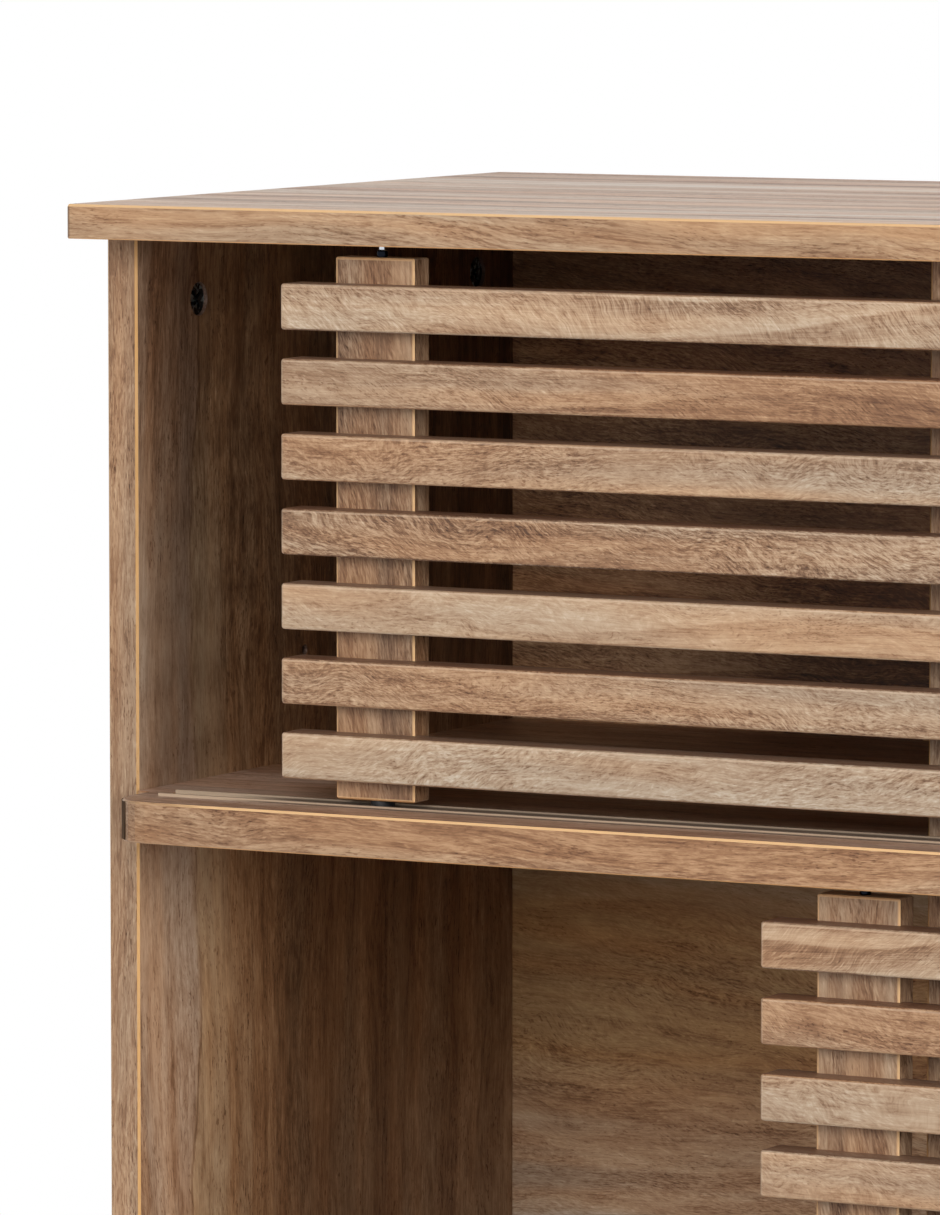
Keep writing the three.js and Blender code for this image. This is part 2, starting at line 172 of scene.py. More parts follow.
# Just above the shelf, a painted patch of light at the left that swings into painted shade.
BACK_PAINTED_LIGHT_HEIGHT = (0.48, 0.58, 1.0, 0.0)
BACK_PAINTED_LIGHT_TO_SHADE = (-0.50, -0.40, 0.10, -0.14)
BACK_HUE_HEIGHT = (0.20, 0.45)
BACK_HUE_SWAY, BACK_HUE_MARKS = 0.03, (3.0, 8.0)
BACK_HUES = (
    (0.00, (1.00, 1.03, 1.08, 1.0)),
    (0.20, (1.00, 1.02, 1.02, 1.0)),
    (0.34, (1.00, 0.86, 0.58, 1.0)),
    (0.58, (1.00, 0.86, 0.56, 1.0)),
    (0.72, (1.00, 1.00, 0.92, 1.0)),
    (0.90, (1.00, 1.00, 0.90, 1.0)),
    (1.00, (1.03, 0.87, 0.69, 1.0)),
)

# Top: hues at the left and right of a range of X, and the dark line up its front corners.
TOP_EDGE_TURN = (-0.40, -0.22)
TOP_EDGE_HUES = ((0.97, 0.93, 0.88, 1.0), (0.92, 0.85, 0.76, 1.0))
# The upper face's pink, paler hues are a painted sheen.
TOP_SHEEN_TURN = (-0.55, -0.35)
TOP_SHEEN_HUES = ((1.06, 0.98, 0.97, 1.0), (1.14, 1.09, 1.12, 1.0))
TOP_CORNER = srgb(112, 88, 70)
TOP_CORNER_SHARE = 0.75
TOP_CORNER_WIDTH = (1.6 * MM, 0.8 * MM)

# Shelf: its face in front of the doors and deep behind them, where it carries painted shade that starts
# further back at its ends.
SHELF_HUE = (1.0, 0.965, 0.92, 1.0)
SHELF_FACE_HUE = (1.20, 1.30, 1.66, 1.0)
# Behind the doors the face is darker with painted shade.
SHELF_PAINTED_SHADE_HUE = (0.74, 0.66, 0.62, 1.0)
SHELF_END = (0.54, 0.50)
SHELF_SHADE_START = (-0.16, -0.12)
SHELF_SHADE_START_AT_END = (-0.08, -0.04)
SHELF_UNRUBBED = 0.555

# The wall of a bore hardly faces along X and keeps this far from a board's front and rear edges.
BORE_FACING = 0.3
BORE_MARGIN = 4.0 * MM
BORE_CORE = ((0.3, srgb(84, 64, 52)), (0.7, srgb(132, 106, 92)))

# Stiles: their narrow sides, and the pale border of their front face.
STILE_SIDE_TONE = -0.10
GLUE_TONE = -0.12
GLUE_LINE = (0.8 * MM, 2.0 * MM)
STILE_BORDER = srgb(236, 190, 138)
STILE_BORDER_SHARE = 0.7
STILE_BORDER_WIDTH = (1.3 * MM, 0.9 * MM)

# Slats: a painted highlight along their upper arrises, pale rubbed ends, and painted shade on top and bottom,
# then one row of looks for each.
# The pale colour is a painted highlight on the upper arrises and a rub on the end arrises; the dark one is
# painted shade.
SLAT_HIGHLIGHT_AND_RUB = srgb(238, 208, 178)
SHADED_SLAT = srgb(114, 76, 56)
UPPER_HIGHLIGHT_ARRIS = ((0.15, 0.4), (0.5, 0.7, 1.0, 0.0))
UPRIGHT_ARRIS = ((0.15, 0.4), (0.6, 0.8, 1.0, 0.0))
SLAT_LYING = (0.75, 0.95)
UPPER_HIGHLIGHT_SHARE, UPRIGHT_RUB, SHADED_SHARE = 0.6, 0.45, 0.72
UPPER_SLATS = (
    # tone, warmth, drift, rings, slant, strokes, seed
    (0.01, 0.44, -0.03, 1.3, 1.4, 1.1, 31.0),
    (-0.09, 1.10, -0.14, 0.9, 0.9, 1.0, 32.7),
    (0.01, 0.52, 0.05, 0.3, 0.1, 1.2, 34.1),
    (-0.09, 0.40, 0.08, 0.5, 0.8, 1.5, 35.9),
    (0.10, 0.86, -0.06, 0.8, 0.2, 0.9, 37.2),
    (-0.05, 0.42, 0.06, 0.4, 0.4, 1.2, 38.8),
    (0.08, 0.27, -0.03, 0.4, -0.5, 1.3, 40.3),
)
LOWER_SLATS = (
    (0.04, 0.55, 0.00, 1.8, -1.8, 1.2, 51.0),
    (-0.10, 1.00, 0.02, 0.4, 0.3, 1.0, 52.6),
    (0.09, 0.57, 0.00, 0.8, 0.3, 1.0, 54.3),
    (0.01, 0.65, -0.03, 0.4, 0.5, 1.1, 55.8),
    (-0.02, 0.55, 0.04, 0.5, 0.8, 1.3, 57.4),
    (0.04, 0.30, -0.02, 0.6, 0.3, 0.9, 58.9),
    (0.00, 0.65, 0.03, 0.4, 0.6, 1.1, 60.5),
)

# Plastic and metal parts.
TRACK_COLOUR = srgb(192, 168, 142)
GUIDE_COLOUR = srgb(184, 160, 134)
# A track groove's painted shade below the lip, and the painted light that pales it towards its ends.
GROOVE_PAINTED_SHADE = srgb(96, 78, 64)
GROOVE_PAINTED_LIGHT = srgb(196, 172, 146)
GROOVE_LIGHT_START = (0.505, 0.545)
GROOVE_SHADE_FADE = 0.6 * MM
GROOVE_SHADE_BELOW_LIP = 0.35 * MM
BLACK_PLASTIC = srgb(17, 17, 20)
RUBBER = srgb(38, 37, 36)
LOCK_ZINC = srgb(176, 192, 198)
SCREW_ZINC = srgb(176, 172, 160)
# The lower pins' darker plating is painted shade on the same plating as the upper pins.
PIN_PLATING_LIT_AND_SHADED = {"upper": srgb(214, 218, 224), "lower": srgb(96, 98, 104)}
PIN_COLLAR = srgb(24, 27, 34)
COLLAR_HEIGHT = 2.9 * MM
TARNISH = srgb(22, 21, 22)

# Marks per metre along and across, and the noise at which a mark starts and ends.
FLOW_LINES, PLASTIC_GRAIN = (18.0, 90.0), (2600.0, 2600.0)
METAL_CLOUDS, SCRATCHES = (700.0, 700.0), (300.0, 5200.0)
METAL_PITS, TARNISH_BLOTS = (2300.0, 2300.0), (330.0, 330.0)
PIT_EDGE, BLOT_EDGE = (0.12, 0.22), (-0.03, 0.08)
CORE_SPECKS, CORE_FLUTES = (900.0, 900.0), (30.0, 900.0)
PLASTIC_RELIEF, METAL_RELIEF, CORE_RELIEF = 0.03 * MM, 0.05 * MM, 0.15 * MM
# How much they change tone, roughness and height. The tone of plastic goes with its speckle, the
# roughness and height of metal with its mottle, and the roughness of scratches with their depth.
FLOW_TONE, FLOW_ROUGHNESS, FLOW_HEIGHT = 4, 0.25, 0.4
MATT_TONE, MATT_ROUGHNESS = 3, 0.15
CLOUD_ROUGHNESS, CLOUD_HEIGHT, SCRATCH_ROUGHNESS = 0.6, 2, 3

# Vertices closer than WELD are joined, and edges that turn more than SHARP_ANGLE stay sharp.
WELD = 0.002 * MM
SHARP_ANGLE = math.radians(32)

# The shelf's nose: its corner, and the strip of bare core beyond its edge band.
NOSE_CORNER = 20.0 * MM
NOSE_END_GAP = 5.5 * MM
BAND_END = math.radians(36.5)
STRIP_PROUD = 0.06 * MM
STRIP_MARGIN = 0.6 * MM
STRIP_FLUTES, STRIP_ROWS = 26, 6
STRIP_LIFT, STRIP_WAVES = (0.55, 0.45), (2.4, 1.1)
FLUTED_CORE = ((0.35, srgb(50, 36, 26)), (0.65, srgb(122, 98, 78)))

# Screws: a profile row is a share of the radius and of the height. The cross has its arm's length and
# half width, and its floor's height.
SCREW_SIDES = 24
SCREW_RADIUS, SCREW_HEIGHT = 3.4 * MM, 0.9 * MM
SCREW_PROFILE = ((1.0, 0.0), (1.0, 0.35), (0.93, 0.7), (0.78, 0.92), (0.55, 1.0))
CROSS_ARM, CROSS_WAIST, CROSS_FLOOR = 0.50 * SCREW_RADIUS, 0.13 * SCREW_RADIUS, 0.35 * SCREW_HEIGHT
SCREW_TURN = math.radians(37)

# Studio: how weakly the world lights the object, and the floor's paint, size and fade to white.
WORLD_STRENGTH = 0.07
FLOOR_PAINT = (0.8, 0.8, 0.8, 1.0)
FLOOR_GLOW = 0.55
FLOOR_RADIUS = 6.0
FLOOR_FADE = (0.9, 1.5)


class Nodes:
    """Adds nodes to one tree. An input given as a socket is linked, and any other value is set on it."""

    def __init__(self, tree):
        self.tree = tree

    def feed(self, socket, value):
        if isinstance(value, bpy.types.NodeSocket):
            self.tree.links.new(value, socket)
        else:
            socket.default_value = value

    def add(self, kind, inputs=(), **settings):
        node = self.tree.nodes.new(kind)
        for key, value in settings.items():
            setattr(node, key, value)
        for key, value in dict(inputs).items():
            self.feed(node.inputs[key], value)
        return node

    def math(self, operation, *values, clamp=False):
        return self.add("ShaderNodeMath", enumerate(values), operation=operation, use_clamp=clamp).outputs[0]

    def total(self, *values):
        result = values[0]
        for value in values[1:]:
            result = self.math("ADD", result, value)
        return result

    def times(self, *values):
        result = values[0]
        for value in values[1:]:
            result = self.math("MULTIPLY", result, value)
        return result

    def size(self, value):
        """A number without its sign."""
        return self.math("ABSOLUTE", value)

    def spread(self, value, low, high, to_low=0.0, to_high=1.0, smooth=True):
        """Maps low..high to to_low..to_high and holds the ends."""
        kind = "SMOOTHSTEP" if smooth else "LINEAR"
        inputs = {0: value, 1: low, 2: high, 3: to_low, 4: to_high}
        return self.add("ShaderNodeMapRange", inputs, interpolation_type=kind).outputs[0]

    def profile(self, value, rows):
        """The sum of one spread for each row of (low, high, to_low, to_high)."""
        return self.total(*[self.spread(value, *row) for row in rows])

    def window(self, value, rows):
        """The product of one spread for each row of (low, high, to_low, to_high)."""
        return self.times(*[self.spread(value, *row) for row in rows])

    def split(self, vector):
        return self.add("ShaderNodeSeparateXYZ", {0: vector}).outputs

    def join(self, *parts):
        return self.add("ShaderNodeCombineXYZ", enumerate(parts)).outputs[0]

    def stretch(self, vector, along, across):
        """Scales a grain vector, so that along and across are the marks per metre."""
        inputs = {0: vector, 1: (along, across, across)}
        return self.add("ShaderNodeVectorMath", inputs, operation="MULTIPLY").outputs[0]

    def noise(self, vector, detail=2.0, rough=0.5):
        """Smooth noise round zero."""
        inputs = {"Vector": vector, "Scale": 1.0, "Detail": detail, "Roughness": rough}
        value = self.add("ShaderNodeTexNoise", inputs, noise_dimensions="3D").outputs[0]
        return self.math("SUBTRACT", value, 0.5)

    def pick(self, factor, first, second):
        """A number: first where factor is 0, second where it is 1."""
        return self.add("ShaderNodeMix", {0: factor, 2: first, 3: second}, data_type="FLOAT").outputs[0]

    def blend(self, factor, first, second, how="MIX"):
        """A colour mixed from two."""
        inputs = {0: factor, 6: first, 7: second}
        return self.add("ShaderNodeMix", inputs, data_type="RGBA", blend_type=how).outputs[2]

    def tinted(self, colour, hue):
        """A colour times another."""
        return self.blend(1.0, colour, hue, "MULTIPLY")

    def ramp(self, factor, stops):
        node = self.add("ShaderNodeValToRGB", {0: factor})
        ramp = node.color_ramp
        while len(ramp.elements) < len(stops):
            ramp.elements.new(0.5)
        for element, (place, colour) in zip(ramp.elements, stops):
            element.position = place
            element.color = colour
        return node.outputs[0]


def new_group(name, inputs, outputs):
    """An empty node group with its sockets: (nodes, group inputs, group output node's inputs)."""
    tree = bpy.data.node_groups.new(name, "ShaderNodeTree")
    for title, kind, value in inputs:
        socket = tree.interface.new_socket(title, in_out="INPUT", socket_type=kind)
        if value is not None:
            socket.default_value = value
    for title, kind in outputs:
        tree.interface.new_socket(title, in_out="OUTPUT", socket_type=kind)
    nodes = Nodes(tree)
    return nodes, nodes.add("NodeGroupInput").outputs, nodes.add("NodeGroupOutput").inputs


def grain_group():
    """Says for each face which way its grain runs: along the piece, and on a banded end along the band.

    Side is 1 on the narrow faces, End is 1 on cut end grain and Arris is 1 on an arris of the main face.
    """
    nodes, given, out = new_group("grain_space", [
        ("Place", "NodeSocketVector", None),
        ("Facing", "NodeSocketVector", None),
        ("Seed", "NodeSocketFloat", 0.0),
        ("Banded", "NodeSocketFloat", 1.0),
    ], [
        ("Grain", "NodeSocketVector"),
        ("Arris", "NodeSocketFloat"),
        ("End", "NodeSocketFloat"),
        ("Side", "NodeSocketFloat"),
    ])
    along, across, depth = nodes.split(given["Place"])
    facing = [nodes.size(part) for part in nodes.split(given["Facing"])]
    end = nodes.math("GREATER_THAN", facing[0], FLAT)
    edge = nodes.math("GREATER_THAN", facing[1], EDGE_FLAT)
    banded_end = nodes.times(end, given["Banded"])
    side = nodes.math("MAXIMUM", edge, banded_end)
    run = nodes.pick(banded_end, along, across)
    width = nodes.pick(side, across, depth)
    into = nodes.pick(banded_end, nodes.pick(edge, depth, across), along)
    seed = nodes.total(given["Seed"], nodes.times(edge, EDGE_SEED), nodes.times(end, END_SEED))
    steps = zip((run, width, into), SEED_STEPS)
    shifted = [nodes.total(part, nodes.times(seed, step)) for part, step in steps]
    corner = nodes.math("MINIMUM", facing[2], nodes.math("MAXIMUM", facing[0], facing[1]))
    nodes.feed(out["Grain"], nodes.join(*shifted))
    nodes.feed(out["Side"], side)
    nodes.feed(out["Arris"], nodes.spread(corner, *ARRIS))
    nodes.feed(out["End"], nodes.math("SUBTRACT", end, banded_end, clamp=True))
    return nodes.tree


def ring_arches(nodes, bent, swing):
    """Arched rings: each darkens across its width, and the next one starts pale."""
    phase = nodes.total(nodes.times(bent, RINGS_PER_METRE), nodes.times(swing, RING_SWING))
    saw = nodes.math("FRACT", phase)
    fall = nodes.spread(saw, *RING_FALL)
    return nodes.math("SUBTRACT", fall, nodes.spread(saw, *RING_START))


def figure_group():
    """The printed walnut figure: bands, streaks, arched rings, slanting strokes, fibres and pores."""
    nodes, given, out = new_group("walnut_figure", [
        ("Grain", "NodeSocketVector", None),
        *[(name, "NodeSocketFloat", 0.5) for name in FIGURE_PARTS],
    ], [
        ("Tone", "NodeSocketFloat"),
        ("Pore", "NodeSocketFloat"),
        ("Warmth", "NodeSocketFloat"),
        ("Height", "NodeSocketFloat"),
    ])

    def layer(name, vector):
        along, across, detail, rough = MARKS[name]
        return nodes.noise(nodes.stretch(vector, along, across), detail, rough)

    run, width, into = nodes.split(given["Grain"])
    straight = nodes.join(run, width, into)
    wander = nodes.total(
        nodes.times(layer("wander", straight), WANDER),
        nodes.times(layer("waver", straight), WAVER),
    )
    bent = nodes.total(width, wander)
    grain = nodes.join(run, bent, into)
    streaks = layer("streaks", grain)
    fibres = layer("fibres", grain)
    arches = ring_arches(nodes, bent, layer("swing", straight))
    ripple = nodes.total(
        nodes.times(layer("curls", straight), CURL),
        nodes.times(layer("ripples", straight), RIPPLE),
    )
    slope = nodes.times(given["Slant"], SLOPE)
    curled = nodes.total(bent, nodes.times(run, slope), nodes.times(ripple, given["Curl"]))
    shortened = nodes.times(run, nodes.spread(given["Curl"], *CURL_SHORTENS, smooth=False))
    leaned = nodes.join(shortened, curled, into)
    stroke_patches = nodes.spread(layer("patches", straight), *STROKE_PATCHES)
    pore_patches = nodes.spread(layer("pore_patches", grain), *PORE_PATCHES)
    pores = nodes.times(nodes.spread(layer("pores", leaned), *PORES), pore_patches)
    veins = nodes.spread(layer("veins", leaned), *VEINS)
    flecks = nodes.spread(layer("flecks", leaned), *FLECKS)
    tone = nodes.total(
        nodes.times(layer("bands", grain), given["Bands"]),
        nodes.times(streaks, given["Streaks"], SHARES["streaks"]),
        nodes.times(fibres, SHARES["fibres"]),
        nodes.times(layer("mottle", grain), SHARES["mottle"]),
        nodes.times(layer("clouds", leaned), SHARES["clouds"]),
        nodes.times(nodes.math("SUBTRACT", arches, RING_MIDDLE), given["Rings"], SHARES["rings"]),
        nodes.times(layer("strokes", leaned), stroke_patches, given["Strokes"]),
        nodes.times(flecks, given["Strokes"], SHARES["flecks"]),
        nodes.times(veins, given["Veins"], SHARES["veins"]),
        nodes.times(pores, given["Pores"], SHARES["pores"]),
    )
    height = nodes.total(
        nodes.times(fibres, HEIGHTS["fibres"]),
        nodes.times(streaks, HEIGHTS["streaks"]),
        nodes.times(pores, HEIGHTS["pores"]),
    )
    nodes.feed(out["Tone"], tone)
    nodes.feed(out["Pore"], pores)
    nodes.feed(out["Warmth"], nodes.spread(layer("warmth", grain), *WARMTH))
    nodes.feed(out["Height"], height)
    return nodes.tree


GRAIN = grain_group()
FIGURE = figure_group()


def new_material(name, roughness=0.5, **constants):
    """A material whose Principled shader has its constants on its own sockets: (material, nodes, shader)."""
    material = bpy.data.materials.new(name)
    material.use_nodes = True
    nodes = Nodes(material.node_tree)
    shader = material.node_tree.nodes["Principled BSDF"]
    shader.inputs["Roughness"].default_value = roughness
    for key, value in constants.items():
        shader.inputs[key.replace("_", " ")].default_value = value
    return material, nodes, shader


def bump(nodes, shader, height, distance):
    """Bends a shader's normal by a height that is 1 at distance above the surface."""
    node = nodes.add("ShaderNodeBump", {"Strength": 1.0, "Distance": distance, "Height": height})
    nodes.feed(shader.inputs["Normal"], node.outputs[0])


def rubbed_wood(nodes, colour, tone, golden, facing):
    """A rubbed arris: golden, with some of the figure showing through, and deeper on the underside with
    painted shade.
    """
    under = nodes.spread(facing[Z], *UNDERSIDE_SHADE_FACING)
    rubbed = nodes.blend(under, golden, nodes.tinted(golden, UNDERSIDE_SHADE_HUE))
    shown = nodes.total(nodes.times(tone, FIGURE_ON_RUB), MEAN_FIGURE_ON_RUB)
    return nodes.blend(shown, rubbed, colour)


def wood(name, axes, seed, tone=0.0, warm=0.5, bands=0.5, rings=0.5, slant=0.4, strokes=0.6, pores=0.7,
         curl=0.3, streaks=1.0, veins=1.0, edge_bands=0.5, edge_strokes=None, edge_tone=0.0, banded=1.0,
         gloss=0.44, arris=1.0, golden=GOLDEN, unrubbed=None, tint=WHITE, shade=None, extra=None, drift=None):
    """Wood-grain board. axes are along the grain, across it and into the main face.

    banded is 1 where the ends carry a band and 0 where they are cut end grain. arris is how strongly the
    arrises are rubbed to golden, and unrubbed is how far out along X they hardly are. shade adds to the
    tone from place to place, and extra paints over the colour. drift is (change, start, end): the tone
    rises by change along X from start to end, and its warmth falls.
    """
    material, nodes, shader = new_material(name, gloss, IOR=1.47)
    place = nodes.split(nodes.add("ShaderNodeTexCoord").outputs["Object"])
    facing = nodes.split(nodes.add("ShaderNodeNewGeometry").outputs["True Normal"])
    space = nodes.add("ShaderNodeGroup", node_tree=GRAIN)
    nodes.feed(space.inputs["Place"], nodes.join(*[place[axis] for axis in axes]))
    nodes.feed(space.inputs["Facing"], nodes.join(*[facing[axis] for axis in axes]))
    nodes.feed(space.inputs["Seed"], seed)
    nodes.feed(space.inputs["Banded"], banded)
    side = space.outputs["Side"]
    figure = nodes.add("ShaderNodeGroup", node_tree=FIGURE)
    nodes.feed(figure.inputs["Grain"], space.outputs["Grain"])
    bands = nodes.pick(side, bands, min(bands, edge_bands))
    if edge_strokes is not None:
        strokes = nodes.pick(side, strokes, edge_strokes)
    for key, value in zip(FIGURE_PARTS, (bands, rings, slant, strokes, pores, curl, streaks, veins)):
        nodes.feed(figure.inputs[key], value)
    level = nodes.total(figure.outputs["Tone"], MEDIUM_TONE + tone, nodes.times(side, edge_tone))
    if shade:
        level = nodes.total(level, shade(nodes, place, facing))
    hue = nodes.total(figure.outputs["Warmth"], warm - 0.5)
    if drift:
        change, start, end = drift
        turn = HUE_DRIFT * change
        level = nodes.total(level, nodes.spread(place[X], start, end, -change / 2, change / 2))
        hue = nodes.total(hue, nodes.spread(place[X], start, end, turn, -turn))
    colour = nodes.tinted(nodes.ramp(level, WALNUT), nodes.ramp(hue, COOL_TO_WARM))
    colour = nodes.tinted(colour, tint)
    colour = nodes.blend(nodes.times(space.outputs["End"], END_GRAIN_SHARE), colour, END_GRAIN)
    if extra:
        colour = extra(nodes, colour, place, facing)
    if arris:
        strength = nodes.times(space.outputs["Arris"], arris)
        if unrubbed:
            left = nodes.spread(nodes.size(place[X]), unrubbed - RUB_FADE, unrubbed, 1.0, RUB_LEFT)
            strength = nodes.times(strength, left)
        rubbed = rubbed_wood(nodes, colour, figure.outputs["Tone"], golden, facing)
        colour = nodes.blend(strength, colour, rubbed)
    nodes.feed(shader.inputs["Base Color"], colour)
    nodes.feed(shader.inputs["Roughness"], nodes.total(
        gloss,
        nodes.times(figure.outputs["Pore"], PORE_ROUGHNESS),
        nodes.times(figure.outputs["Tone"], TONE_ROUGHNESS),
    ))
    bump(nodes, shader, figure.outputs["Height"], GRAIN_RELIEF)
    return material


def moulded(name, colour, roughness, speckle=0.05, inside=None):
    """Moulded plastic: faint flow marks and a fine matt grain. Below the height inside its groove is darker
    with painted shade, and towards its ends it is paler with painted light."""
    material, nodes, shader = new_material(name, roughness, IOR=1.5)
    place = nodes.add("ShaderNodeTexCoord").outputs["Object"]
    flow = nodes.noise(nodes.stretch(place, *FLOW_LINES), detail=3.0)
    grain = nodes.noise(nodes.stretch(place, *PLASTIC_GRAIN), detail=1.0)
    mottle = nodes.times(flow, speckle * FLOW_TONE)
    shade = nodes.total(1.0, mottle, nodes.times(grain, speckle * MATT_TONE))
    if inside:
        parts = nodes.split(place)
        # Painted shade in the groove, paled by painted light towards the ends.
        above = nodes.spread(parts[Z], inside - GROOVE_SHADE_FADE, inside)
        lit_ends = nodes.spread(nodes.size(parts[X]), *GROOVE_LIGHT_START)
        colour = nodes.blend(above, nodes.blend(lit_ends, GROOVE_PAINTED_SHADE, GROOVE_PAINTED_LIGHT), colour)
    nodes.feed(shader.inputs["Base Color"], nodes.tinted(colour, nodes.join(shade, shade, shade)))
    rough = nodes.total(
        roughness,
        nodes.times(flow, FLOW_ROUGHNESS),
        nodes.times(grain, MATT_ROUGHNESS),
    )
    nodes.feed(shader.inputs["Roughness"], rough)
    bump(nodes, shader, nodes.total(grain, nodes.times(flow, FLOW_HEIGHT)), PLASTIC_RELIEF)
    return material


def metal(name, colour, roughness, mottle, scratch=0.04, tarnish=0.0, collar=None):
    """Plated or cast metal: mottled tone, fine scratches, small pits and dark tarnish in patches. Below the
    height collar it is dark."""
    material, nodes, shader = new_material(name, roughness, Metallic=1.0)
    place = nodes.add("ShaderNodeTexCoord").outputs["Object"]
    cloud = nodes.noise(nodes.stretch(place, *METAL_CLOUDS), detail=3.0, rough=0.6)
    lines = nodes.noise(nodes.stretch(place, *SCRATCHES), detail=1.0)
    pits = nodes.spread(nodes.noise(nodes.stretch(place, *METAL_PITS), detail=1.0), *PIT_EDGE)
    shade = nodes.total(1.0, nodes.times(cloud, mottle), nodes.times(pits, -mottle))
    if tarnish:
        blot = nodes.noise(nodes.stretch(place, *TARNISH_BLOTS), detail=2.0, rough=0.6)
        colour = nodes.blend(nodes.spread(blot, *BLOT_EDGE, tarnish, 0.0), colour, TARNISH)
    if collar:
        upper = nodes.math("GREATER_THAN", nodes.split(place)[Z], collar)
        colour = nodes.blend(upper, PIN_COLLAR, colour)
    nodes.feed(shader.inputs["Base Color"], nodes.tinted(colour, nodes.join(shade, shade, shade)))
    rough = nodes.total(
        roughness,
        nodes.times(cloud, mottle * CLOUD_ROUGHNESS),
        nodes.times(lines, scratch * SCRATCH_ROUGHNESS),
    )
    nodes.feed(shader.inputs["Roughness"], rough)
    relief = nodes.total(
        nodes.times(cloud, mottle * CLOUD_HEIGHT),
        nodes.times(lines, scratch),
        nodes.times(pits, -mottle),
    )
    bump(nodes, shader, relief, METAL_RELIEF)
    return material


def dress(node, material):
    """Gives a CAD node its material."""
    shown = NODES[node]
    if not shown.material_slots:
        shown.data.materials.append(material)
    for place in shown.material_slots:
        place.material = material


def rounding_tree():
    """Welds a CAD mesh and shades it smooth, apart from its sharp edges."""
    tree = bpy.data.node_groups.new("smooth_rounds", "GeometryNodeTree")
    tree.interface.new_socket("Geometry", in_out="INPUT", socket_type="NodeSocketGeometry")
    tree.interface.new_socket("Geometry", in_out="OUTPUT", socket_type="NodeSocketGeometry")
    nodes = Nodes(tree)

    def shaded(geometry, smooth, domain):
        inputs = {"Geometry": geometry, "Shade Smooth": smooth}
        return nodes.add("GeometryNodeSetShadeSmooth", inputs, domain=domain).outputs[0]

    given = nodes.add("NodeGroupInput").outputs[0]
    welded = nodes.add("GeometryNodeMergeByDistance", {"Geometry": given, "Distance": WELD}).outputs[0]
    angle = nodes.add("GeometryNodeInputMeshEdgeAngle").outputs[0]
    soft = nodes.add("FunctionNodeCompare", {0: angle, 1: SHARP_ANGLE}, operation="LESS_THAN").outputs[0]
    rounded = shaded(shaded(welded, True, "FACE"), soft, "EDGE")
    nodes.feed(nodes.add("NodeGroupOutput").inputs[0], rounded)
    return tree


ROUNDING = rounding_tree()


def smooth_rounds(piece):
    """Shades a piece's rounds smooth and keeps its flat faces flat."""
    piece.modifiers.new("smooth_rounds", "NODES").node_group = ROUNDING
    piece.modifiers.new("flat_faces", "WEIGHTED_NORMAL").keep_sharp = True


def dress_boards():
    """Top, bottom, shelf, sides, dividers and back."""
    lying = (X, Y, Z)
    upright = (Z, Y, X)
    dress("top_panel", wood(
        "top_wood", lying, seed=1.3, tone=0.15, warm=0.70, bands=1.6, slant=0.12, strokes=0.7, streaks=1.5,
        edge_bands=0.2, edge_strokes=0.85, edge_tone=-0.09, gloss=0.40, golden=PALE_GOLDEN, extra=top_hue))
    dress("bottom_panel", wood("bottom_wood", lying, seed=2.9, tone=-0.06, warm=0.7, bands=0.6))
    dress("middle_shelf", wood(
        "shelf_wood", lying, seed=5.2, tone=-0.05, warm=0.95, rings=0.4, slant=0.0, strokes=0.8, curl=0.25,
        edge_bands=0.3, golden=PALE_GOLDEN, unrubbed=SHELF_UNRUBBED, tint=SHELF_HUE, extra=shelf_top))
    for number, node in enumerate(("left_side_panel", "right_side_panel")):
        dress(node, wood(
            node + "_wood", upright, seed=7.4 + 3.1 * number, tone=-0.06, warm=0.8, bands=0.5, rings=0.25,
            slant=0.05, strokes=0.65, pores=0.9, streaks=0.7, veins=0.35, edge_strokes=0.9, arris=0.9,
            golden=DULL_GOLDEN, shade=heartwood, extra=side_colour))
    dividers = ("upper_left_divider", "upper_right_divider", "lower_left_divider", "lower_right_divider")
    for number, node in enumerate(dividers):
        dress(node, wood(
            node + "_wood", upright, seed=12.6 + 2.3 * number, tone=-0.08, warm=0.7, bands=0.6, rings=0.25,
            slant=0.1, strokes=0.4, streaks=0.5, veins=0.4, edge_strokes=0.9, arris=0.9,
            golden=DULL_GOLDEN, extra=bore_walls))
    dress("back_panel", wood(
        "back_wood", (X, Z, Y), seed=22.1, tone=0.02, warm=0.7, bands=0.35, rings=0.7, slant=0.35,
        strokes=1.15, pores=0.7, curl=0.7, streaks=0.6, veins=0.5, arris=0.0, shade=back_shade,
        extra=back_hue))


def front_face(nodes, facing):
    """1 on a face that looks forward."""
    return nodes.math("LESS_THAN", facing[Y], -FLAT)


def inner_face(nodes, place, facing):
    """1 on the face of a side board that looks into the bays."""
    outwards = nodes.times(facing[X], nodes.math("SIGN", place[X]))
    return nodes.math("LESS_THAN", outwards, -FLAT)


def ring_depth(nodes, place):
    """The depth on a side board, swayed as the ring at which its sapwood ends."""
    sway = nodes.noise(nodes.stretch(nodes.join(place[Z], 0.0, place[X]), *RING_MARKS), detail=3.0)
    return nodes.total(place[Y], nodes.times(sway, RING_SWAY))


